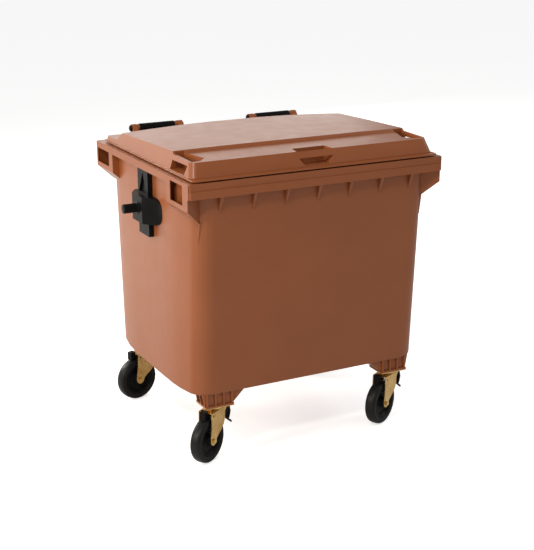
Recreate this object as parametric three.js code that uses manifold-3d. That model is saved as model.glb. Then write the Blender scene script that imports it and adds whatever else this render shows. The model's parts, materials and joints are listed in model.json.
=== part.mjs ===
// Four-wheeled waste container with a flat hinged lid, in millimetres, +Z up.
// The origin is on the floor below the middle of the rim; -Y is the front and +X the right-hand side.

import * as THREE from 'three';
import { mergeVertices } from 'three/addons/utils/BufferGeometryUtils.js';
import Module from 'manifold-3d';

const wasm = await Module();
wasm.setup();

// Clearances
const TOUCH_GAP = 0.3;
const RUNNING_GAP = 0.5;

// Tub: half-width and the front and rear walls at two heights, straight in between
const TUB = {
  low: { z: 300, half: 523, front: -438, rear: 423 },
  high: { z: 1150, half: 525, front: -490, rear: 470 },
  wall: 5,
  floor: 6,
  crown: 45,
  cornerRun: 62,
  edgeRadius: 14,
};
const RIM = { half: 594, front: -519, rear: 523, top: 1233, band: 30, wall: 4, corner: 14 };
const FRONT_BAND = { bottom: 1170, beadTop: 1202, beadFront: -523 };
const COMB = { pitch: 149, count: 7, topWidth: 16, tipWidth: 3, tip: 1096 };
const CORNER_BOX = { bottom: 1120, root: 1052, rootX: 520, wall: 4, innerX: 530 };
const FRONT_BOX = { from: -515, to: -295, pocket: [-457, -335, 1138, 1218] };
const REAR_BOX = { from: 318, to: 519, pocket: [363, 505, 1140, 1205] };

// Hinge axis and the two hinge units, each with the X spans of its pieces
const HINGE = { y: 504, z: 1277, pinRadius: 8, holeRadius: 8.7, lidEar: 18.5, bodyLug: 17, sleeve: 19 };
const UNITS = [
  { name: 'left', head: -438, ears: [-427, -404, -403.5, -391], farEars: [-214, -202, -201.5, -174] },
  { name: 'right', head: 165, ears: [176, 200.5, 201, 214], farEars: [397, 410, 410.5, 433] },
];

// Lid
const LID = {
  half: 573, front: -517, rear: 478, corner: 20,
  flangeBottom: 1241, flangeTop: 1245, lipBottom: 1239, wall: 4,
};
const LID_STATIONS = [
  { y: -487, foot: 569, top: 568, z: 1250, crown: 0 },
  { y: -458, foot: 569, top: 560, z: 1304, crown: 1 },
  { y: -282, foot: 569, top: 556, z: 1308, crown: 2 },
  { y: -271, foot: 569, top: 554, z: 1319, crown: 3 },
  { y: 0, foot: 569, top: 556, z: 1311, crown: 11 },
  { y: 284, foot: 569, top: 558, z: 1301, crown: 18 },
  { y: 335, foot: 569, top: 566, z: 1264, crown: 2 },
  { y: 466, foot: 569, top: 566, z: 1262, crown: 0 },
];
const LID_WALLS = {
  low: { half: 568, front: -487, z: 1248 },
  high: { half: 546, front: -442, z: 1336 },
  corner: 30,
  rear: 470,
};
const GRIP = {
  floor: 1249,
  linerFloor: 1243,
  top: 1340,
  cornerWell: [[542, -274], [542, -440], [500, -436], [468, -395], [503, -274]],
  cornerLiner: [[576, -270], [576, -446], [498, -441], [462, -397], [497, -270]],
  cornerWindow: [[-285, 1287], [-278, 1249], [-417, 1249], [-432, 1289]],
  centreWell: [[-84, -458], [84, -458], [76, -400], [-76, -400]],
  centreLiner: [[-92, -492], [92, -492], [84, -394], [-84, -394]],
  centreWindow: [[-80, 1279], [80, 1279], [58, 1249], [-58, 1249]],
};

// Lifting trunnions
const TRUNNION = {
  y: -36, z: 1042, faceX: 621, pinRadius: 20, pinEnd: 685, spigotRadius: 10, spigotLength: 32,
};
const TRUNNION_BOLTS = {
  offsets: [-30, 30], z: 1010, hole: 5.6, shank: 5, head: 9, headInner: 557, headOuter: 564,
};
const WINGS = { endRadius: 57, endY: 97, z: 1040 };

const DRAIN = { x: 250, y: 60, hole: 20, flange: 28, plugBottom: 288 };

// Castors
const CASTOR = { x: 434, y: 386, height: 245, trail: 65, wheelRadius: 100, tyreWidth: 50 };
const FOOT = {
  halfX: 66, halfY: 52.5, base: 7, recess: 11, ribPitch: 38, ribWidth: 6, spreadX: 57, spreadY: 30,
};
const PLATE = { x: 131, y: 105, thickness: 4 };
const FORK = { legInner: 31, legThickness: 3.5, crownTop: 226, crownThickness: 4 };
const PEDAL = { x: 45, z: 216 };
const SHOE = { x: -62, z: 212.5 };
const CASTORS = [
  { name: 'front_left', sx: -1, sy: -1, turn: 31.3, pedal: true },
  { name: 'front_right', sx: 1, sy: -1, turn: 27.6, pedal: true },
  { name: 'rear_left', sx: -1, sy: 1, turn: 13.7, pedal: false },
  { name: 'rear_right', sx: 1, sy: 1, turn: 20, pedal: false },
];

// Materials
const BROWN = { color: 0x9c5f42, roughness: 0.55, metalness: 0 };
const BLACK = { color: 0x1c1c1d, roughness: 0.5, metalness: 0 };
const RUBBER = { color: 0x232422, roughness: 0.8, metalness: 0 };
const GOLD = { color: 0xb08a45, roughness: 0.35, metalness: 0.9 };
const ZINC = { color: 0xb9bcc0, roughness: 0.4, metalness: 0.9 };

const container = new THREE.Group();

// ---- Geometry helpers ----

function solid(geometry) {
  const bare = geometry.clone();
  bare.deleteAttribute('normal');
  bare.deleteAttribute('uv');
  const merged = mergeVertices(bare, 1e-4);
  const mesh = new wasm.Mesh({
    numProp: 3,
    vertProperties: new Float32Array(merged.attributes.position.array),
    triVerts: new Uint32Array(merged.index.array),
  });
  return new wasm.Manifold(mesh);
}

function geometryOf(manifold) {
  const mesh = manifold.getMesh();
  const geometry = new THREE.BufferGeometry();
  geometry.setAttribute('position', new THREE.BufferAttribute(new Float32Array(mesh.vertProperties), 3));
  geometry.setIndex(new THREE.BufferAttribute(new Uint32Array(mesh.triVerts), 1));
  geometry.computeVertexNormals();
  return geometry;
}

function addPiece(name, manifold, finish, group = container) {
  const piece = new THREE.Mesh(geometryOf(manifold), new THREE.MeshStandardMaterial(finish));
  piece.name = name;
  group.add(piece);
  return piece;
}

function union(parts) {
  return parts.reduce((sum, part) => sum.add(part));
}

function extrudeAlong(points, depth, matrix) {
  const shape = new THREE.Shape(points.map(([u, v]) => new THREE.Vector2(u, v)));
  const geometry = new THREE.ExtrudeGeometry(shape, { depth, bevelEnabled: false, steps: 1 });
  return solid(geometry.applyMatrix4(matrix));
}

// points are (y, z)
function extrudeX(points, from, to) {
  const axes = new THREE.Matrix4().makeBasis(
    new THREE.Vector3(0, 1, 0), new THREE.Vector3(0, 0, 1), new THREE.Vector3(1, 0, 0));
  return extrudeAlong(points, Math.abs(to - from), axes.setPosition(Math.min(from, to), 0, 0));
}

// points are (x, z)
function extrudeY(points, from, to) {
  const axes = new THREE.Matrix4().makeBasis(
    new THREE.Vector3(1, 0, 0), new THREE.Vector3(0, 0, 1), new THREE.Vector3(0, -1, 0));
  return extrudeAlong(points, Math.abs(to - from), axes.setPosition(0, Math.max(from, to), 0));
}

// points are (x, y)
function extrudeZ(points, from, to) {
  const axes = new THREE.Matrix4().makeTranslation(0, 0, from);
  return extrudeAlong(points, to - from, axes);
}

function box(x0, x1, y0, y1, z0, z1) {
  const geometry = new THREE.BoxGeometry(Math.abs(x1 - x0), y1 - y0, z1 - z0);
  return solid(geometry.translate((x0 + x1) / 2, (y0 + y1) / 2, (z0 + z1) / 2));
}

// A cylinder along 'x', 'y' or 'z' between two values on that axis
function rod(axis, radius, from, to, centre, segments = 20) {
  const geometry = new THREE.CylinderGeometry(radius, radius, Math.abs(to - from), segments);
  geometry.translate(0, (from + to) / 2, 0);
  if (axis === 'x') geometry.rotateZ(-Math.PI / 2);
  if (axis === 'z') geometry.rotateX(Math.PI / 2);
  return solid(geometry.translate(...centre));
}

// A turned shape: profile points are (radius, distance along the axis)
function turned(axis, profile, centre, segments) {
  const points = profile.map(([radius, along]) => new THREE.Vector2(radius, along));
  const geometry = new THREE.LatheGeometry(points, segments);
  if (axis === 'x') geometry.rotateZ(-Math.PI / 2);
  if (axis === 'z') geometry.rotateX(Math.PI / 2);
  return outward(geometry.translate(...centre));
}

function signedVolume(geometry) {
  const merged = geometry.index ? geometry : mergeVertices(geometry);
  const position = merged.attributes.position;
  const corner = [0, 1, 2].map(() => new THREE.Vector3());
  let total = 0;
  for (let i = 0; i < merged.index.count; i += 3) {
    corner.forEach((point, k) => point.fromBufferAttribute(position, merged.index.getX(i + k)));
    total += corner[0].dot(corner[1].clone().cross(corner[2])) / 6;
  }
  return total;
}

// Makes a closed indexed geometry face outward
function outward(geometry) {
  const bare = geometry.clone();
  bare.deleteAttribute('normal');
  bare.deleteAttribute('uv');
  const merged = mergeVertices(bare, 1e-4);
  if (signedVolume(merged) < 0) {
    const order = merged.index.array;
    for (let i = 0; i < order.length; i += 3) [order[i], order[i + 2]] = [order[i + 2], order[i]];
  }
  return solid(merged);
}

// Skins a stack of rings with equal point counts and closes both ends from their middles
function loft(rings) {
  const count = rings[0].length;
  const positions = rings.flat();
  const indices = [];
  for (let level = 0; level < rings.length - 1; level += 1) {
    for (let i = 0; i < count; i += 1) {
      const a = level * count + i;
      const b = level * count + (i + 1) % count;
      indices.push(a, b, b + count, a, b + count, a + count);
    }
  }
  [0, rings.length - 1].forEach((level) => {
    const middle = positions.length;
    const ring = rings[level];
    positions.push([0, 1, 2].map((k) => ring.reduce((sum, point) => sum + point[k], 0) / count));
    for (let i = 0; i < count; i += 1) {
      const a = level * count + i;
      const b = level * count + (i + 1) % count;
      indices.push(...(level === 0 ? [b, a, middle] : [a, b, middle]));
    }
  });
  const geometry = new THREE.BufferGeometry();
  geometry.setAttribute('position', new THREE.Float32BufferAttribute(positions.flat(), 3));
  geometry.setIndex(indices);
  return outward(geometry);
}

function roundedRectangle(x0, x1, y0, y1, radius, steps = 3) {
  const corners = [[x1 - radius, y0 + radius, -90], [x1 - radius, y1 - radius, 0],
    [x0 + radius, y1 - radius, 90], [x0 + radius, y0 + radius, 180]];
  return corners.flatMap(([cx, cy, start]) => Array.from({ length: steps + 1 }, (_, i) => {
    const angle = THREE.MathUtils.degToRad(start + 90 * i / steps);
    return [cx + radius * Math.cos(angle), cy + radius * Math.sin(angle)];
  }));
}

function rectangle(u0, u1, v0, v1) {
  return [[u0, v0], [u1, v0], [u1, v1], [u0, v1]];
}

// ---- Container body ----

function tubAt(z) {
  const t = (z - TUB.low.z) / (TUB.high.z - TUB.low.z);
  const at = (key) => THREE.MathUtils.lerp(TUB.low[key], TUB.high[key], t);
  return { half: at('half'), front: at('front'), rear: at('rear') };
}

function crownedSide(half, front, rear, y) {
  const middle = (front + rear) / 2;
  const t = Math.abs(y - middle) / ((rear - front) / 2);
  return half + TUB.crown * (1 - Math.min(t, 1) ** 5);
}

// The tub's outline at one height: flat front and rear, crowned sides and eased corners
function tubOutline(z, inset) {
  const { half, front, rear } = tubAt(z);
  const h = half - inset;
  const f = front + inset;
  const r = rear - inset;
  const run = TUB.cornerRun - inset;
  const cornerSteps = 6;
  const sideSteps = 10;
  const right = [];
  const corner = (y, towards) => {
    const start = new THREE.Vector2(h - run, y);
    const mid = new THREE.Vector2(h + 2, y);
    const end = new THREE.Vector2(crownedSide(h, f, r, y + towards * run), y + towards * run);
    const points = new THREE.QuadraticBezierCurve(start, mid, end).getPoints(cornerSteps);
    return points.map((point) => [point.x, point.y]);
  };
  right.push(...corner(f, 1));
  for (let i = 1; i < sideSteps; i += 1) {
    const y = THREE.MathUtils.lerp(f + run, r - run, i / sideSteps);
    right.push([crownedSide(h, f, r, y), y]);
  }
  right.push(...corner(r, -1).reverse());
  const left = right.map(([x, y]) => [-x, y]).reverse();
  return [...right, ...left].map(([x, y]) => [x, y, z]);
}

function outerTub(grow = 0) {
  const { z } = TUB.low;
  const e = TUB.edgeRadius;
  return loft([
    tubOutline(z - grow, e - grow),
    tubOutline(z + e * 0.3, e * 0.3 - grow),
    tubOutline(z + e, -grow),
    tubOutline(RIM.top - 1, -grow),
  ]);
}

function innerTub() {
  const z = TUB.low.z + TUB.floor;
  const e = TUB.edgeRadius;
  return loft([
    tubOutline(z, TUB.wall + e),
    tubOutline(z + e, TUB.wall),
    tubOutline(RIM.top + 10, TUB.wall),
  ]);
}

function rim() {
  const outline = (inset) => roundedRectangle(
    -RIM.half + inset, RIM.half - inset, RIM.front + inset, RIM.rear - inset, RIM.corner - inset);
  const block = extrudeZ(outline(0), RIM.top - RIM.band, RIM.top);
  const channel = extrudeZ(outline(RIM.wall), RIM.top - RIM.band - 1, RIM.top - RIM.wall);
  const frontOnly = box(-600, 600, -530, -499, 1100, 1240);
  const frontSkirt = extrudeZ(outline(0), FRONT_BAND.bottom, RIM.top - RIM.band + 1)
    .subtract(extrudeZ(outline(RIM.wall), FRONT_BAND.bottom - 1, RIM.top))
    .intersect(frontOnly);
  const beadLine = (inset) => roundedRectangle(-RIM.half + inset, RIM.half - inset,
    FRONT_BAND.beadFront + inset, RIM.rear, RIM.corner + 3 - inset);
  const bead = extrudeZ(beadLine(0), FRONT_BAND.bottom, FRONT_BAND.beadTop)
    .subtract(extrudeZ(beadLine(RIM.wall + 1), FRONT_BAND.bottom - 1, RIM.top))
    .intersect(frontOnly);
  return union([block.subtract(channel), frontSkirt, bead]);
}

function combRibs() {
  const ribs = [];
  const inside = tubAt(COMB.tip).front + 2;
  const section = (x, width, front, z) => (
    rectangle(x - width / 2, x + width / 2, front, inside).map(([u, v]) => [u, v, z]));
  for (let i = 0; i < COMB.count; i += 1) {
    const x = (i - (COMB.count - 1) / 2) * COMB.pitch;
    ribs.push(loft([
      section(x, COMB.tipWidth, inside - 3, COMB.tip),
      section(x, COMB.topWidth, RIM.front + 1, FRONT_BAND.bottom + 2),
      section(x, COMB.topWidth, RIM.front + 1, RIM.top - 2),
    ]));
  }
  return union(ribs);
}

// A hollow box below the rim at one corner, open on its outer face
function cornerBox(side, { from, to, pocket }, front) {
  const w = CORNER_BOX.wall;
  const section = [[500, RIM.top - 2], [RIM.half, RIM.top - 2], [RIM.half, CORNER_BOX.bottom],
    [CORNER_BOX.rootX, CORNER_BOX.root], [500, CORNER_BOX.root]];
  const cavity = [[CORNER_BOX.innerX, RIM.top - RIM.wall], [RIM.half - w, RIM.top - RIM.wall],
    [RIM.half - w, CORNER_BOX.bottom + 3], [CORNER_BOX.innerX, CORNER_BOX.root + 17]];
  const mirror = (points) => points.map(([x, z]) => [side * x, z]);
  let shell = extrudeY(mirror(section), from, to);
  let hollow = extrudeY(mirror(cavity), from + w, to - w);
  if (front) {
    const slant = (shift) => extrudeZ(mirror([[640, -560], [640, shift - 536], [500, shift - 448],
      [500, -560]]), 1000, RIM.top - RIM.wall);
    shell = shell.subtract(slant(0).intersect(box(-700, 700, -540, -400, 1000, FRONT_BAND.bottom)));
    hollow = hollow.subtract(slant(w + 2));
  }
  const opening = box(side * (RIM.half - 2 * w), side * (RIM.half + w), ...pocket);
  return { shell, hollow: hollow.add(opening) };
}

// A slender fin that carries the front box's corner down the wall
function cornerFin(side) {
  const profile = [[-462, 1060], [-470, 1060], [-455, 975], [-440, 975]];
  return extrudeX(profile, side * 506, side * 528);
}

// A ribbed foot: a base for the castor plate under a recessed block, with ribs on its two outer faces
function foot(sx, sy) {
  const { halfX, halfY, base, recess, ribPitch, ribWidth, spreadX, spreadY } = FOOT;
  const ring = (x0, x1, y0, y1, z) => rectangle(x0, x1, y0, y1).map(([x, y]) => [sx * x, sy * y, z]);
  const outerX = CASTOR.x + halfX;
  const outerY = CASTOR.y + halfY;
  const topX = 512;
  const topY = (sy < 0 ? -TUB.low.front : TUB.low.rear) - 4;
  const topZ = TUB.low.z + 4;
  const ribTop = TUB.low.z + 16;
  const pad = extrudeZ(roundedPad(sx, sy), CASTOR.height, CASTOR.height + base);
  const core = loft([
    ring(CASTOR.x - halfX, outerX - recess, CASTOR.y - halfY, outerY - recess, CASTOR.height + 1),
    ring(CASTOR.x - halfX, outerX - recess, CASTOR.y - halfY, outerY - recess, CASTOR.height + base),
    ring(CASTOR.x - halfX - spreadX, topX - recess, CASTOR.y - halfY - spreadY, topY - recess, topZ),
  ]);
  const wedge = (side, outer, top) => [[side * outer, CASTOR.height + 1], [side * top, ribTop],
    [side * (top - 2 * recess), ribTop], [side * (outer - 2 * recess), CASTOR.height + 1]];
  const ribs = [-1.5, -0.5, 0.5, 1.5].map((step) => {
    const x = sx * (CASTOR.x + step * ribPitch);
    return extrudeX(wedge(sy, outerY - 1, topY), x - ribWidth / 2, x + ribWidth / 2);
  });
  [-1, 0, 1].forEach((step) => {
    const y = sy * (CASTOR.y + step * ribPitch);
    ribs.push(extrudeY(wedge(sx, outerX - 1, topX), y - ribWidth / 2, y + ribWidth / 2));
  });
  return union([pad, core, ...ribs]);
}

function roundedPad(sx, sy) {
  const { halfX, halfY } = FOOT;
  const x = sx * CASTOR.x;
  const y = sy * CASTOR.y;
  return roundedRectangle(x - halfX, x + halfX, y - halfY, y + halfY, 4, 2);
}

function hingeLug(x0, x1) {
  const { y, z, bodyLug } = HINGE;
  const stem = box(x0, x1, y - bodyLug + 1, y + bodyLug - 1, RIM.top - 3, z);
  return rod('x', bodyLug, x0, x1, [0, y, z]).add(stem);
}

function hingeBore() {
  return rod('x', HINGE.holeRadius, -450, 450, [0, HINGE.y, HINGE.z]);
}

function fingerSlot(x0, x1) {
  return box(x0, x1, HINGE.y - 20, HINGE.y + 11, RIM.top - RIM.wall - 1, RIM.top + 1);
}

function boltHole(side, from, to, offset) {
  const { z, hole } = TRUNNION_BOLTS;
  return rod('x', hole, side * from, side * to, [0, TRUNNION.y + offset, z], 12);
}

function containerBody() {
  const shells = [outerTub(), rim(), combRibs()];
  const cuts = [innerTub(), hingeBore()];
  [-1, 1].forEach((side) => {
    const frontBox = cornerBox(side, FRONT_BOX, true);
    const rearBox = cornerBox(side, REAR_BOX, false);
    shells.push(frontBox.shell, rearBox.shell, cornerFin(side));
    cuts.push(frontBox.hollow.subtract(outerTub()), rearBox.hollow.subtract(outerTub()));
    TRUNNION_BOLTS.offsets.forEach((offset) => {
      cuts.push(boltHole(side, 540, 580, offset));
    });
    [-1, 1].forEach((end) => shells.push(foot(side, end)));
  });
  UNITS.forEach(({ ears, farEars }) => {
    shells.push(hingeLug(ears[2], ears[3]), hingeLug(farEars[0], farEars[1]));
    cuts.push(fingerSlot(ears[3] + 6, farEars[0] - 6));
  });
  cuts.push(rod('z', DRAIN.hole, 290, 330, [DRAIN.x, DRAIN.y, 0], 20));
  return union(shells).subtract(union(cuts));
}

// ---- Lid ----

function lidSection({ y, foot: footHalf, top, z, crown }, inset, base) {
  const f = footHalf - inset;
  const t = top - inset;
  const arch = [];
  const steps = 8;
  for (let i = 0; i <= steps; i += 1) {
    const u = -1 + 2 * i / steps;
    arch.push([u * t, y, z - inset + crown * (1 - u * u)]);
  }
  const shoulder = Math.min(LID.flangeTop + 5, z - inset);
  return [[-f, y, base], [-f, y, shoulder], ...arch, [f, y, shoulder], [f, y, base]];
}

// The sloping walls round the dome: a rounded rectangle that narrows upwards
function lidWalls(inset, base) {
  const { low, high, corner, rear } = LID_WALLS;
  const outline = ({ half, front, z }) => roundedRectangle(
    inset - half, half - inset, front + inset, rear - inset, corner - inset, 5).map(([x, y]) => [x, y, z]);
  return loft([outline({ ...low, z: base }), outline(low), outline(high)]);
}

function lidDome(inset, base) {
  const last = LID_STATIONS.length - 1;
  const stations = LID_STATIONS.map((station, i) => {
    const shift = i < 2 ? inset : 0;
    const back = i === last ? -inset : 0;
    return lidSection({ ...station, y: station.y + shift + back }, inset, base);
  });
  return loft(stations).intersect(lidWalls(inset, base));
}

function lidFlange() {
  const outline = (inset) => roundedRectangle(
    -LID.half + inset, LID.half - inset, LID.front + inset, LID.rear - inset, LID.corner - inset);
  const plate = extrudeZ(outline(0), LID.flangeBottom, LID.flangeTop);
  const lip = extrudeZ(outline(0), LID.lipBottom, LID.flangeBottom + 1)
    .subtract(extrudeZ(outline(LID.wall), LID.lipBottom - 1, LID.flangeBottom));
  return plate.add(lip);
}

// The grip at a front corner: a finger well inside a bar, open to the side below the bar
function cornerGrip(side) {
  const mirror = (points) => points.map(([x, y]) => [side * x, y]);
  return {
    liner: extrudeZ(mirror(GRIP.cornerLiner), GRIP.linerFloor, GRIP.top),
    cut: extrudeZ(mirror(GRIP.cornerWell), GRIP.floor, GRIP.top)
      .add(extrudeX(GRIP.cornerWindow, side * 520, side * 600)),
  };
}

// The grip in the middle of the front edge: a well behind a bar, open to the front below the bar
function centreGrip() {
  return {
    liner: extrudeZ(GRIP.centreLiner, GRIP.linerFloor, GRIP.top),
    cut: extrudeZ(GRIP.centreWell, GRIP.floor, GRIP.top).add(extrudeY(GRIP.centreWindow, -530, -440)),
  };
}

function lidEar(x0, x1) {
  const { y, z, lidEar: radius } = HINGE;
  const arm = [[462, LID.flangeBottom], [y - 14, LID.flangeBottom + 1], [y - 2, z - radius + 0.5],
    [y - 2, z + radius - 0.5], [y - 12, z + radius - 5], [462, 1262]];
  return rod('x', radius, x0, x1, [0, y, z]).add(extrudeX(arm, x0, x1));
}

function lidShell() {
  const outer = union([lidDome(0, LID.flangeTop - 2), lidFlange()]);
  const grips = [cornerGrip(-1), cornerGrip(1), centreGrip()];
  const liner = union(grips.map((grip) => grip.liner)).intersect(lidDome(0.01, LID.flangeBottom + 1));
  let shell = outer.subtract(lidDome(LID.wall, LID.lipBottom - 10)).add(liner);
  UNITS.forEach(({ ears, farEars }) => {
    shell = shell.add(lidEar(ears[0], ears[1])).add(lidEar(farEars[2], farEars[3]));
  });
  return shell.subtract(union(grips.map((grip) => grip.cut))).subtract(hingeBore());
}

// ---- Hinge hardware ----

function hingePin({ head, farEars }) {
  const r = HINGE.pinRadius;
  const end = farEars[3] + 3.5;
  const profile = [[0, head], [8, head + 1], [13, head + 4], [15, head + 8], [15, head + 10.5],
    [r, head + 10.5], [r, end], [0, end]];
  return turned('x', profile, [0, HINGE.y, HINGE.z], 16);
}

function gripSleeve({ ears, farEars }) {
  const from = ears[3] + RUNNING_GAP;
  const to = farEars[0] - RUNNING_GAP;
  const inner = HINGE.holeRadius;
  const outer = HINGE.sleeve;
  const profile = [[inner, from], [outer - 2, from], [outer, from + 2], [outer, to - 2],
    [outer - 2, to], [inner, to], [inner, from]];
  return turned('x', profile, [0, HINGE.y, HINGE.z], 16);
}

function hingeCap({ farEars }) {
  const from = farEars[3] + RUNNING_GAP;
  const bore = HINGE.pinRadius + 0.4;
  const profile = [[bore, from], [11, from], [11, from + 4], [9, from + 6], [0, from + 6],
    [0, from + 4], [bore, from + 4], [bore, from]];
  return turned('x', profile, [0, HINGE.y, HINGE.z], 16);
}

// ---- Lifting trunnions ----

function trunnionMount(side) {
  const { y, z, faceX } = TRUNNION;
  const hanger = box(side * 540, side * 592, y - 55, y + 56, 921, RIM.top - RIM.band - RUNNING_GAP);
  const wedge = extrudeX([[y, 1192], [y - 42, 1105], [y + 42, 1105]], side * 582, side * 600);
  const plan = [[540, y - 154], [570, y - 152], [577, y - 125], [faceX, y - 55], [faceX, y + 55],
    [577, y + 125], [570, y + 152], [540, y + 154]].map(([x, v]) => [side * x, v]);
  const bottom = WINGS.z - WINGS.endRadius;
  const top = WINGS.z + WINGS.endRadius;
  const roundEnd = (at) => rod('x', WINGS.endRadius, side * 530, side * 640, [0, at, WINGS.z], 28);
  const middle = box(side * 530, side * 640, y - WINGS.endY, y + WINGS.endY, bottom, top);
  const stadium = union([roundEnd(y - WINGS.endY), roundEnd(y + WINGS.endY), middle]);
  const wings = extrudeZ(plan, bottom, top).intersect(stadium);
  const socket = rod('x', TRUNNION.spigotRadius + TOUCH_GAP,
    side * (faceX - TRUNNION.spigotLength - 1), side * (faceX + 1), [0, y, z]);
  const boltHoles = TRUNNION_BOLTS.offsets.map((offset) => boltHole(side, 550, 602, offset));
  return hanger.subtract(wedge).add(wings)
    .subtract(union([socket, ...boltHoles, outerTub(TOUCH_GAP)]));
}

function trunnionPin(side) {
  const { y, z, faceX, pinRadius, pinEnd, spigotRadius, spigotLength } = TRUNNION;
  const face = faceX + TOUCH_GAP;
  const profile = [[0, faceX - spigotLength], [spigotRadius, faceX - spigotLength], [spigotRadius, face],
    [24, face], [24, face + 3], [pinRadius, face + 3], [pinRadius, pinEnd - 3],
    [pinRadius - 3, pinEnd], [0, pinEnd]].map(([radius, x]) => [radius, side * x]);
  return turned('x', profile, [0, y, z], 20);
}

function trunnionBolt(side, offset) {
  const { z, shank, head, headInner, headOuter } = TRUNNION_BOLTS;
  const centre = [0, TRUNNION.y + offset, z];
  return rod('x', head, side * headInner, side * headOuter, centre, 6)
    .add(rod('x', shank, side * (headOuter - 1), side * 600, centre, 12));
}

function addTrunnions() {
  [['left', -1], ['right', 1]].forEach(([name, side]) => {
    addPiece(`${name}_trunnion_mount`, trunnionMount(side), BLACK);
    addPiece(`${name}_trunnion_pin`, trunnionPin(side), BLACK);
    TRUNNION_BOLTS.offsets.forEach((offset, i) => {
      addPiece(`${name}_trunnion_bolt_${i + 1}`, trunnionBolt(side, offset), ZINC);
    });
  });
}

// ---- Drain ----

function addDrain() {
  const { x, y, hole, flange, plugBottom } = DRAIN;
  const floorTop = TUB.low.z + TUB.floor;
  const sealBottom = floorTop + TOUCH_GAP;
  const sealTop = floorTop + 2.5;
  const seal = [[hole + 1, sealBottom], [flange, sealBottom], [flange, sealTop], [hole + 1, sealTop],
    [hole + 1, sealBottom]];
  addPiece('drain_seal', turned('z', seal, [x, y, 0], 16), RUBBER);
  const top = sealTop + TOUCH_GAP;
  const plug = [[0, plugBottom], [14, plugBottom], [hole - 1, plugBottom + 4], [hole - 1, top],
    [flange, top], [flange - 2, top + 5], [0, top + 5]];
  addPiece('drain_plug', turned('z', plug, [x, y, 0], 16), BLACK);
}

// ---- Castors ----
// Each castor is drawn about its swivel axis, with the wheel trailing towards -X.

function castorPlate() {
  const top = CASTOR.height - TOUCH_GAP;
  const plate = box(-PLATE.x / 2, PLATE.x / 2, -PLATE.y / 2, PLATE.y / 2, top - PLATE.thickness, top);
  const race = rod('z', 38, FORK.crownTop + 4, top - 1, [0, 0, 0]);
  return plate.add(race).subtract(rod('z', 6.8, 200, 250, [0, 0, 0], 12));
}

function kingpin() {
  const profile = [[0, 243], [6, 243], [6, 220.5], [11, 220.5], [11, 215], [8, 212], [0, 212]];
  return turned('z', profile, [0, 0, 0], 12);
}

// The pin, or with a gap its hole, that a brake part turns on
function brakePivot({ x, z }, reach, gap = 0) {
  return rod('y', 3 + gap, -reach, reach, [x, 0, z], 8);
}

function castorFork(hasPedal) {
  const { legInner, legThickness, crownTop, crownThickness } = FORK;
  const outer = legInner + legThickness;
  const under = crownTop - crownThickness;
  const crown = extrudeZ(roundedRectangle(-74, 38, -outer, outer, 10), under, crownTop);
  const race = rod('z', 34, crownTop - 1, crownTop + 3.5, [0, 0, 0]);
  const leg = [[-74, crownTop], [-78, 168], [-84, 128], [-86, 100], [-80, 86], [-65, 79], [-50, 86],
    [-43, 104], [-28, 118], [-8, 131], [12, 150], [21, 170], [24, 205], [38, under], [38, crownTop]];
  const legs = [[legInner, outer], [-outer, -legInner]].map(([from, to]) => extrudeY(leg, from, to));
  const axleHole = rod('y', 6.8, -50, 50, [-CASTOR.trail, 0, CASTOR.wheelRadius], 12);
  const holes = [axleHole, rod('z', 7, 200, 240, [0, 0, 0], 12), brakePivot(SHOE, 50, 0.4)];
  const lugs = [[13, 16.5], [-16.5, -13]].map(([from, to]) => (
    extrudeY(rectangle(36, 51, PEDAL.z - 8, crownTop), from, to)));
  const withLugs = union([crown, race, ...legs, ...(hasPedal ? lugs : [])]);
  return withLugs.subtract(union([...holes, ...(hasPedal ? [brakePivot(PEDAL, 20, 0.4)] : [])]));
}

function tyre() {
  const half = CASTOR.tyreWidth / 2;
  const bead = 72;
  const quarter = [[bead, half - 3], [90, half - 1], [97, half - 8], [CASTOR.wheelRadius, half - 20]];
  const mirrored = quarter.map(([r, y]) => [r, -y]).reverse();
  const profile = [...quarter, ...mirrored, [bead, half - 3]];
  return turned('y', profile, [-CASTOR.trail, 0, CASTOR.wheelRadius], 24);
}

function wheelCentre() {
  const rim = 71.2;
  const profile = [[10.6, -28], [22, -28], [24, -10], [58, -10], [62, -21], [rim, -21], [rim, 21], [62, 21],
    [58, 10], [24, 10], [22, 28], [10.6, 28], [10.6, -28]];
  return turned('y', profile, [-CASTOR.trail, 0, CASTOR.wheelRadius], 24);
}

function axleBush() {
  const length = FORK.legInner - TOUCH_GAP;
  const profile = [[6.8, -length], [10, -length], [10, length], [6.8, length], [6.8, -length]];
  return turned('y', profile, [-CASTOR.trail, 0, CASTOR.wheelRadius], 12);
}

function axleBolt() {
  const face = FORK.legInner + FORK.legThickness + TOUCH_GAP;
  const centre = [-CASTOR.trail, 0, CASTOR.wheelRadius];
  return rod('y', 6, -face - 1, face + 13, centre, 12).add(rod('y', 11, -face - 8, -face, centre, 6));
}

function axleNut() {
  const face = FORK.legInner + FORK.legThickness + TOUCH_GAP;
  const centre = [-CASTOR.trail, 0, CASTOR.wheelRadius];
  return rod('y', 11, face, face + 10, centre, 6).subtract(rod('y', 6.8, face - 1, face + 11, centre, 12));
}

// A block between the fork's crown and the tyre, with a concave underside
function brakeShoe() {
  const block = box(-102, -76, -14, 14, 190, 237);
  const arm = box(-78, SHOE.x + 6, -14, 14, 207, 218);
  const clearance = rod('y', CASTOR.wheelRadius + 5.5, -30, 30, [-CASTOR.trail, 0, CASTOR.wheelRadius], 40);
  return union([block, arm, brakePivot(SHOE, 36)]).subtract(clearance);
}

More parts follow.
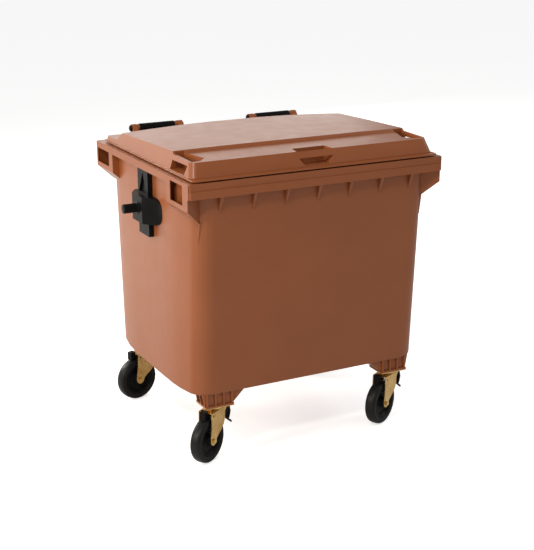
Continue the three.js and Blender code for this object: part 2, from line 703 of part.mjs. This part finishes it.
// A foot pedal: a curved strap ahead of the crown with a thin cross-bar below
function brakePedal() {
  const strap = [[40.5, 221], [70, 216], [96, 196], [102, 172], [92, 146], [84, 140], [80, 146], [90, 170],
    [86, 192], [66, 206], [40.5, 211]];
  const bar = [[86, 147], [82, 140], [120, 110], [124, 116]];
  return union([extrudeY(strap, -12, 12), extrudeY(bar, -4, 4), brakePivot(PEDAL, 17.5)]);
}

function addCastor({ name, sx, sy, turn, pedal }) {
  const fixed = new THREE.Group();
  const swivel = new THREE.Group();
  fixed.position.set(sx * CASTOR.x, sy * CASTOR.y, 0);
  swivel.position.copy(fixed.position);
  swivel.rotation.z = THREE.MathUtils.degToRad(turn);
  container.add(fixed, swivel);
  addPiece(`${name}_castor_plate`, castorPlate(), GOLD, fixed);
  addPiece(`${name}_kingpin`, kingpin(), ZINC, fixed);
  addPiece(`${name}_fork`, castorFork(pedal), GOLD, swivel);
  addPiece(`${name}_axle_bush`, axleBush(), ZINC, swivel);
  addPiece(`${name}_axle_bolt`, axleBolt(), GOLD, swivel);
  addPiece(`${name}_axle_nut`, axleNut(), GOLD, swivel);
  addPiece(`${name}_tyre`, tyre(), RUBBER, swivel);
  addPiece(`${name}_wheel_centre`, wheelCentre(), BLACK, swivel);
  addPiece(`${name}_brake_shoe`, brakeShoe(), BLACK, swivel);
  if (pedal) addPiece(`${name}_brake_pedal`, brakePedal(), BLACK, swivel);
}

// ---- Assembly ----

addPiece('container_body', containerBody(), BROWN);
addPiece('lid', lidShell(), BROWN);
UNITS.forEach((unit) => {
  addPiece(`${unit.name}_hinge_pin`, hingePin(unit), BLACK);
  addPiece(`${unit.name}_grip_sleeve`, gripSleeve(unit), BLACK);
  addPiece(`${unit.name}_hinge_cap`, hingeCap(unit), BLACK);
});
addTrunnions();
addDrain();
CASTORS.forEach(addCastor);

export default container;
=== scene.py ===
"""A four-wheeled waste container with a flat lid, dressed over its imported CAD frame, in metres, +Z up."""

import bmesh
import bpy
import json
import math
from mathutils import Matrix, Vector

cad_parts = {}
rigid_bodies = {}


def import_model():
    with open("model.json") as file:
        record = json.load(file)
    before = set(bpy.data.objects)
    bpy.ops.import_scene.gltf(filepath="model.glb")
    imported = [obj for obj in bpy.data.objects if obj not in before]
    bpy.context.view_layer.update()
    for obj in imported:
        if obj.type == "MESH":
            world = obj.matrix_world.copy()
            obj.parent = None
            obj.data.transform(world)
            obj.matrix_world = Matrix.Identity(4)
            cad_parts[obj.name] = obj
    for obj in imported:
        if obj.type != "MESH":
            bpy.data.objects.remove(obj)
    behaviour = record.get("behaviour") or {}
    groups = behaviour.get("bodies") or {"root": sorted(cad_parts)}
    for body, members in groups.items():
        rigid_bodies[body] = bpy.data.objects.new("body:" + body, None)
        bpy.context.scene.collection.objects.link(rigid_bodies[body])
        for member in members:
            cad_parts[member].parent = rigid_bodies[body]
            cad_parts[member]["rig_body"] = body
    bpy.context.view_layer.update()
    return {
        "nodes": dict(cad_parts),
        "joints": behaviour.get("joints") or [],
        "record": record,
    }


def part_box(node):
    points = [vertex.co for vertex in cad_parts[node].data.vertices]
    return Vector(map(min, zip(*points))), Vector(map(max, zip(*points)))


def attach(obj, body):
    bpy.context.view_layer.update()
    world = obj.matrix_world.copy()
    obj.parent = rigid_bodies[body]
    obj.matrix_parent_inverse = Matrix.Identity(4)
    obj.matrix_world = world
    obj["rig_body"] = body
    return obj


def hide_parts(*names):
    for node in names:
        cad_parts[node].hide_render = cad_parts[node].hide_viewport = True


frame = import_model()
nodes = frame["nodes"]

MM = 0.001
TAU = 2 * math.pi

# ---- Camera, floor and light ----

CAMERA_AT = Vector((-2.4268, -4.7235, 2.2861))
CAMERA_YAW = math.radians(27.34)
CAMERA_PITCH = math.radians(17.19)
CAMERA_ROLL = math.radians(-0.17)
CAMERA_LENS = 79.5
SENSOR_WIDTH = 36
CAMERA_REACH = 100

WHITE = (1, 1, 1)
WORLD_SEEN = 1.0
WORLD_FILL = 0.38
LIGHTS_AIM_AT = (0, 0, 0.8)
# Each light: its name, its place, its width and height, its power in watts and its colour.
SOFT_LIGHTS = [
    ("backdrop", (-0.7, 6.0, 2.4), (11.0, 4.2), 185, (1, 0.98, 0.93)),
    ("key_rear_left", (-3.0, 4.4, 3.0), (1.2, 1.2), 150, (1, 0.95, 0.86)),
    ("side_left", (-5.0, -0.7, 2.6), (1.5, 1.5), 130, (1, 0.93, 0.82)),
    ("key_left_top", (-3.0, -2.5, 4.2), (0.6, 0.6), 74, (1, 0.96, 0.88)),
    ("strip_right", (4.6, -0.8, 4.2), (0.6, 1.6), 70, WHITE),
    ("front_fill", (1.5, -4.5, 2.0), (3.0, 3.0), 8, WHITE),
]

FLOOR_REACH = 30.0
FLOOR_TONE = 0.8
FLOOR_ROUGHNESS = 0.9
FLOOR_GLOW = 0.62


def add_object(name, data):
    thing = bpy.data.objects.new(name, data)
    bpy.context.scene.collection.objects.link(thing)
    return thing


def add_camera():
    data = bpy.data.cameras.new("camera")
    data.lens = CAMERA_LENS
    data.sensor_width = SENSOR_WIDTH
    data.clip_end = CAMERA_REACH
    camera = add_object("camera", data)
    ahead = Vector((
        math.sin(CAMERA_YAW) * math.cos(CAMERA_PITCH),
        math.cos(CAMERA_YAW) * math.cos(CAMERA_PITCH),
        -math.sin(CAMERA_PITCH),
    ))
    level = Vector((math.cos(CAMERA_YAW), -math.sin(CAMERA_YAW), 0))
    upright = level.cross(ahead)
    right = level * math.cos(CAMERA_ROLL) + upright * math.sin(CAMERA_ROLL)
    up = upright * math.cos(CAMERA_ROLL) - level * math.sin(CAMERA_ROLL)
    turn = Matrix((right, up, -ahead)).transposed().to_4x4()
    camera.matrix_world = Matrix.Translation(CAMERA_AT) @ turn
    bpy.context.scene.camera = camera


def add_soft_light(name, at, size, power, colour):
    data = bpy.data.lights.new(name, "AREA")
    data.shape = "RECTANGLE"
    data.size, data.size_y = size
    data.energy = power
    data.color = colour
    light = add_object(name, data)
    light.location = at
    light.rotation_euler = (Vector(LIGHTS_AIM_AT) - Vector(at)).to_track_quat("-Z", "Y").to_euler()


def camera_ray_mix(tree, lighting, seen):
    """Shows one shader to the camera, and lights the scene with the other."""
    path = tree.nodes.new("ShaderNodeLightPath")
    mix = tree.nodes.new("ShaderNodeMixShader")
    tree.links.new(path.outputs["Is Camera Ray"], mix.inputs[0])
    tree.links.new(lighting.outputs[0], mix.inputs[1])
    tree.links.new(seen.outputs[0], mix.inputs[2])
    return mix.outputs[0]


def add_studio():
    scene = bpy.context.scene
    scene.view_settings.view_transform = "Standard"
    world = bpy.data.worlds.new("studio")
    scene.world = world
    world.use_nodes = True
    tree = world.node_tree
    fill = tree.nodes["Background"]
    seen = tree.nodes.new("ShaderNodeBackground")
    for background, strength in ((fill, WORLD_FILL), (seen, WORLD_SEEN)):
        background.inputs["Color"].default_value = (*WHITE, 1)
        background.inputs["Strength"].default_value = strength
    tree.links.new(camera_ray_mix(tree, fill, seen), tree.nodes["World Output"].inputs["Surface"])
    for light in SOFT_LIGHTS:
        add_soft_light(*light)


def floor_material():
    """A matt pale grey, which glows a little to the camera so that it runs into the white beyond it."""
    material = bpy.data.materials.new("floor")
    material.use_nodes = True
    tree = material.node_tree
    surface = tree.nodes["Principled BSDF"]
    surface.inputs["Base Color"].default_value = (FLOOR_TONE, FLOOR_TONE, FLOOR_TONE, 1)
    surface.inputs["Roughness"].default_value = FLOOR_ROUGHNESS
    glow = tree.nodes.new("ShaderNodeEmission")
    glow.inputs["Strength"].default_value = FLOOR_GLOW
    glowing = tree.nodes.new("ShaderNodeAddShader")
    tree.links.new(surface.outputs[0], glowing.inputs[0])
    tree.links.new(glow.outputs[0], glowing.inputs[1])
    shown = camera_ray_mix(tree, surface, glowing)
    tree.links.new(shown, tree.nodes["Material Output"].inputs["Surface"])
    return material


def add_floor():
    mesh = bpy.data.meshes.new("floor")
    signs = [(-1, -1), (1, -1), (1, 1), (-1, 1)]
    corners = [(sx * FLOOR_REACH, sy * FLOOR_REACH, 0) for sx, sy in signs]
    mesh.from_pydata(corners, [], [(0, 1, 2, 3)])
    mesh.materials.append(floor_material())
    floor = add_object("floor", mesh)


# ---- Materials ----

RAMP_STOPS = (0.3, 0.7)
GLOSS_SPREAD = 0.07
GLOSS_SCALE = 3
PATCH_DETAIL = 4
GLOSS_DETAIL = 5
GRAIN_DETAIL = 3


def mottled(name, dark, light, patch, roughness, grain, grain_depth, grain_strength=0.35,
            metallic=0.0, specular=0.5):
    """A material whose colour and gloss drift in soft patches over a fine moulded grain."""
    material = bpy.data.materials.new(name)
    material.use_nodes = True
    tree = material.node_tree
    surface = tree.nodes["Principled BSDF"]
    surface.inputs["Metallic"].default_value = metallic
    surface.inputs["Specular IOR Level"].default_value = specular
    place = tree.nodes.new("ShaderNodeTexCoord").outputs["Object"]

    def noise(scale, detail):
        node = tree.nodes.new("ShaderNodeTexNoise")
        node.inputs["Scale"].default_value = scale
        node.inputs["Detail"].default_value = detail
        tree.links.new(place, node.inputs["Vector"])
        return node.outputs["Fac"]

    ramp = tree.nodes.new("ShaderNodeValToRGB")
    for stop, position, colour in zip(ramp.color_ramp.elements, RAMP_STOPS, (dark, light)):
        stop.position = position
        stop.color = (*colour, 1)
    tree.links.new(noise(patch, PATCH_DETAIL), ramp.inputs["Fac"])
    tree.links.new(ramp.outputs["Color"], surface.inputs["Base Color"])
    gloss = tree.nodes.new("ShaderNodeMapRange")
    gloss.inputs["To Min"].default_value = roughness - GLOSS_SPREAD
    gloss.inputs["To Max"].default_value = roughness + GLOSS_SPREAD
    tree.links.new(noise(patch * GLOSS_SCALE, GLOSS_DETAIL), gloss.inputs["Value"])
    tree.links.new(gloss.outputs["Result"], surface.inputs["Roughness"])
    bump = tree.nodes.new("ShaderNodeBump")
    bump.inputs["Strength"].default_value = grain_strength
    bump.inputs["Distance"].default_value = grain_depth
    tree.links.new(noise(grain, GRAIN_DETAIL), bump.inputs["Height"])
    tree.links.new(bump.outputs["Normal"], surface.inputs["Normal"])
    return material


def brown_plastic():
    return mottled(
        "brown_plastic", dark=(0.268, 0.077, 0.0225), light=(0.284, 0.083, 0.0255), patch=5,
        roughness=0.33, grain=900, grain_depth=0.12 * MM, specular=0.36)


def black_plastic():
    return mottled(
        "black_plastic", dark=(0.0035, 0.0035, 0.0038), light=(0.007, 0.007, 0.0075), patch=14,
        roughness=0.38, grain=1100, grain_depth=0.15 * MM, specular=0.07)


def rubber():
    return mottled(
        "rubber", dark=(0.006, 0.0063, 0.006), light=(0.011, 0.0113, 0.0105), patch=18,
        roughness=0.42, grain=1500, grain_depth=0.2 * MM, specular=0.2)


def gold_passivated_steel():
    return mottled(
        "gold_passivated_steel", dark=(0.56, 0.34, 0.11), light=(0.74, 0.52, 0.21), patch=16,
        roughness=0.27, grain=500, grain_depth=0.02 * MM, grain_strength=0.08, metallic=0.9)


def zinc_steel():
    return mottled(
        "zinc_steel", dark=(0.42, 0.43, 0.45), light=(0.60, 0.61, 0.62), patch=16,
        roughness=0.32, grain=500, grain_depth=0.02 * MM, grain_strength=0.08, metallic=0.95)


def make_materials():
    makers = (brown_plastic, black_plastic, rubber, gold_passivated_steel, zinc_steel)
    return {make.__name__: make() for make in makers}


# ---- Mesh tools ----

WELD_DISTANCE = 0.02 * MM
FLAT_ANGLE = math.radians(1)
ROUNDED_ANGLE = math.radians(28)
ROUNDING_STEPS = 2
EVEN_SHADING_WEIGHT = 80
TURNED_SHARP_ANGLE = math.radians(50)


def body_of_node(name):
    return nodes[name]["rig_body"]


def slot_of(name):
    return next(s["material_slot"] for s in frame["record"]["subparts"] if s["node"] == name)


def settle(piece, node, materials):
    """Shades a piece smoothly, gives it its node's finish and body, and hides the plain node."""
    for polygon in piece.data.polygons:
        polygon.use_smooth = True
    piece.data.materials.clear()
    piece.data.materials.append(materials[slot_of(node)])
    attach(piece, body_of_node(node))
    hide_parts(node)


def softened(node, materials, width):
    """A copy of a CAD node with its flat facets joined and every hard edge rounded."""
    mesh = nodes[node].data.copy()
    mesh.name = f"{node}_soft"
    work = bmesh.new()
    work.from_mesh(mesh)
    bmesh.ops.remove_doubles(work, verts=work.verts, dist=WELD_DISTANCE)
    bmesh.ops.dissolve_limit(
        work, angle_limit=FLAT_ANGLE, verts=work.verts, edges=work.edges, delimit={"NORMAL"})
    work.to_mesh(mesh)
    work.free()
    piece = add_object(f"{node}_skin", mesh)
    rounding = piece.modifiers.new("rounded", "BEVEL")
    rounding.width = width
    rounding.segments = ROUNDING_STEPS
    rounding.limit_method = "ANGLE"
    rounding.angle_limit = ROUNDED_ANGLE
    rounding.miter_outer = "MITER_ARC"
    shading = piece.modifiers.new("even_shading", "WEIGHTED_NORMAL")
    shading.weight = EVEN_SHADING_WEIGHT
    settle(piece, node, materials)


def level_axis(at, axis):
    """The frame of a turned shape: it stands at a place, and its Z runs along a level axis."""
    turn = math.atan2(-axis[0], axis[1])
    lay_down = Matrix.Rotation(-math.pi / 2, 4, "X")
    return Matrix.Translation(at) @ Matrix.Rotation(turn, 4, "Z") @ lay_down


def turned_mesh(name, profile, segments, place):
    """A closed ring or solid of revolution; profile points are (radius, along) in millimetres."""
    work = bmesh.new()

    def ring(radius, along):
        """The corners made by one profile point: a single one where it lies on the axis."""
        if radius == 0:
            return [work.verts.new(place @ Vector((0, 0, along * MM)))]
        angles = [TAU * step / segments for step in range(segments)]
        return [
            work.verts.new(place @ Vector((
                radius * MM * math.cos(angle),
                radius * MM * math.sin(angle),
                along * MM,
            )))
            for angle in angles
        ]

    rings = [ring(radius, along) for radius, along in profile]
    pairs = list(zip(rings, rings[1:]))
    if len(rings[0]) > 1 and len(rings[-1]) > 1:
        pairs.append((rings[-1], rings[0]))
    for near, far in pairs:
        for here in range(segments):
            there = (here + 1) % segments
            corners = [
                near[here % len(near)], near[there % len(near)],
                far[there % len(far)], far[here % len(far)],
            ]
            work.faces.new(list(dict.fromkeys(corners)))
    bmesh.ops.recalc_face_normals(work, faces=work.faces)
    mesh = bpy.data.meshes.new(name)
    work.to_mesh(mesh)
    work.free()
    return mesh


def turned_piece(node, profile, segments, place, materials):
    mesh = turned_mesh(f"{node}_turned", profile, segments, place)
    settle(add_object(f"{node}_skin", mesh), node, materials)
    mesh.set_sharp_from_angle(angle=TURNED_SHARP_ANGLE)


# ---- Castors ----

CASTORS = ("front_left", "front_right", "rear_left", "rear_right")
TYRE_SEGMENTS = 96
CENTRE_SEGMENTS = 72
# Half an outline each, as (radius, distance from the wheel's middle plane), from the bore outwards.
TYRE_SIDE = [
    (72.1, 20), (74, 22.6), (76, 23.8),
    (78.6, 23.8), (79.4, 22.4), (80.6, 22.4), (81.4, 24),
    (84.4, 24.2), (85.2, 22.7), (86.4, 22.7), (87.2, 24.3),
    (89.8, 24), (90.8, 22.2), (92, 22), (93, 22.6),
    (95.5, 20.8), (97.8, 17.5), (99.2, 13), (99.9, 7), (100, 2),
]
CENTRE_SIDE = [
    (10.8, 27.4), (11.6, 28), (20.6, 28), (22, 26.6),
    (23.2, 13), (25.5, 10.6), (32, 10),
    (33.5, 11.6), (37, 11.6), (38.5, 10), (45, 10),
    (46.5, 11.4), (50, 11.4), (51.5, 10), (56, 10.4),
    (59, 12.4), (62, 19.8), (64, 21), (70, 21), (71.1, 20),
]


def joint_named(name):
    return next(joint for joint in frame["joints"] if joint["name"] == name)


def both_sides(side):
    return side + [(radius, -along) for radius, along in reversed(side)]


def add_wheels(materials):
    for castor in CASTORS:
        roll = joint_named(f"{castor}_wheel_roll")
        place = level_axis(roll["pos_m"], roll["axis"])
        turned_piece(f"{castor}_tyre", both_sides(TYRE_SIDE), TYRE_SEGMENTS, place, materials)
        turned_piece(
            f"{castor}_wheel_centre", both_sides(CENTRE_SIDE), CENTRE_SEGMENTS, place, materials)


# ---- Hinge and lifting pins: millimetres, with the ends taken from each CAD node's box ----

SIDES = ("left", "right")
X_AXIS = (1, 0, 0)

SLEEVE_SEGMENTS = 48
SLEEVE_BORE = 8.8
SLEEVE_OUTER = 19
SLEEVE_WAIST = 18.1
SLEEVE_END_RADIUS = 2.5
SLEEVE_END_MIDDLE = 0.8
SLEEVE_PLAIN_ENDS = 12
GROOVE_STEP = 11
GROOVE_WIDTH = 2.4

HINGE_PIN_SEGMENTS = 40
HINGE_PIN_RADIUS = 8
HEAD_RADIUS = 15
DOME_RISE = 8
DOME_ANGLES = (0.35, 0.7, 1.05, 1.35)
HEAD_BAND = 2
HEAD_BEVEL_DEPTH = 0.6
HEAD_BEVEL_LENGTH = 0.5
PIN_END_BEVEL = 1

LIFTING_PIN_SEGMENTS = 56
LIFTING_PIN_RADIUS = 20
# Points of the fillet in front of the collar: how far out from the pin, how far along from the collar.
LIFTING_PIN_FILLET = [(1.4, 0.5), (0.3, 1.7), (0, 3.7)]
# Points of the rounded outer end: how far in from the pin's radius, how far back from its end.
LIFTING_PIN_ROUNDED_END = [(0, 4), (0.5, 2), (1.7, 0.5), (3, 0)]
SHANK_RADIUS = 10
SHANK_BEVEL = 1
COLLAR_RADIUS = 24
COLLAR_FROM_INNER_END = 32.3
COLLAR_THICKNESS = 3
COLLAR_BEVEL_DEPTH = 1
COLLAR_BEVEL_LENGTH = 0.7


def turned_along_x(node, profile_between, segments, materials):
    """Turns a piece about its node's own middle line, between the two ends of the node."""
    low, high = (Vector(corner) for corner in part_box(node))
    middle = (low + high) / 2
    place = level_axis((0, middle.y, middle.z), X_AXIS)
    turned_piece(node, profile_between(low.x / MM, high.x / MM), segments, place, materials)


def sleeve_profile(start, end):
    """A tube with rounded ends and evenly spaced grip grooves."""
    rounded_end = [
        (SLEEVE_OUTER - SLEEVE_END_RADIUS, 0),
        (SLEEVE_OUTER - SLEEVE_END_MIDDLE, SLEEVE_END_MIDDLE),
        (SLEEVE_OUTER, SLEEVE_END_RADIUS),
    ]
    count = int((end - start - SLEEVE_PLAIN_ENDS) // GROOVE_STEP)
    first = (start + end) / 2 - (count - 1) * GROOVE_STEP / 2
    grooves = []
    for i in range(count):
        middle = first + i * GROOVE_STEP
        grooves += [
            (SLEEVE_OUTER, middle - GROOVE_WIDTH / 2), (SLEEVE_WAIST, middle - GROOVE_WIDTH / 4),
            (SLEEVE_WAIST, middle + GROOVE_WIDTH / 4), (SLEEVE_OUTER, middle + GROOVE_WIDTH / 2),
        ]
    return [
        (SLEEVE_BORE, start),
        *((radius, start + inset) for radius, inset in rounded_end),
        *grooves,
        *((radius, end - inset) for radius, inset in reversed(rounded_end)),
        (SLEEVE_BORE, end),
    ]


def hinge_pin_profile(head, end):
    """A domed head on the left with a short straight band, then the shank to its bevelled end."""
    dome = [
        (HEAD_RADIUS * math.sin(angle), head + DOME_RISE * (1 - math.cos(angle)))
        for angle in DOME_ANGLES
    ]
    band_start = head + DOME_RISE
    band_end = band_start + HEAD_BAND
    return [
        (0, head), *dome, (HEAD_RADIUS, band_start), (HEAD_RADIUS, band_end),
        (HEAD_RADIUS - HEAD_BEVEL_DEPTH, band_end + HEAD_BEVEL_LENGTH),
        (HINGE_PIN_RADIUS, band_end + HEAD_BEVEL_LENGTH),
        (HINGE_PIN_RADIUS, end - PIN_END_BEVEL), (HINGE_PIN_RADIUS - PIN_END_BEVEL, end), (0, end),
    ]


def lifting_pin_profile(low, high):
    """A shank from the inner end, a collar, a fillet, then the pin to its rounded outer end."""
    inner, outer = sorted((low, high), key=abs)
    side = math.copysign(1, outer)
    back = COLLAR_FROM_INNER_END
    front = back + COLLAR_THICKNESS
    length = abs(outer - inner)
    outline = [
        (0, 0), (SHANK_RADIUS - SHANK_BEVEL, 0), (SHANK_RADIUS, SHANK_BEVEL), (SHANK_RADIUS, back),
        (COLLAR_RADIUS - COLLAR_BEVEL_DEPTH, back), (COLLAR_RADIUS, back + COLLAR_BEVEL_LENGTH),
        (COLLAR_RADIUS, front - COLLAR_BEVEL_LENGTH), (COLLAR_RADIUS - COLLAR_BEVEL_DEPTH, front),
        *((LIFTING_PIN_RADIUS + out, front + along) for out, along in LIFTING_PIN_FILLET),
        *((LIFTING_PIN_RADIUS - inset, length - back_off) for inset, back_off in LIFTING_PIN_ROUNDED_END),
        (0, length),
    ]
    return [(radius, inner + side * along) for radius, along in outline]


def add_hinge_hardware(materials):
    for side in SIDES:
        turned_along_x(f"{side}_grip_sleeve", sleeve_profile, SLEEVE_SEGMENTS, materials)
    for side in SIDES:
        turned_along_x(f"{side}_hinge_pin", hinge_pin_profile, HINGE_PIN_SEGMENTS, materials)


def add_lifting_pins(materials):
    for side in SIDES:
        turned_along_x(f"{side}_trunnion_pin", lifting_pin_profile, LIFTING_PIN_SEGMENTS, materials)


# ---- The whole object ----

TURNED_NODES = ("_tyre", "_wheel_centre", "_grip_sleeve", "_hinge_pin", "_trunnion_pin")
WIDE_EDGES = {"container_body": 2.2 * MM, "lid": 2.6 * MM}
FINE_EDGE = 0.8 * MM


def dress(materials):
    add_wheels(materials)
    add_hinge_hardware(materials)
    add_lifting_pins(materials)
    for name in sorted(nodes):
        if not name.endswith(TURNED_NODES):
            softened(name, materials, WIDE_EDGES.get(name, FINE_EDGE))


add_camera()
add_studio()
add_floor()
dress(make_materials())
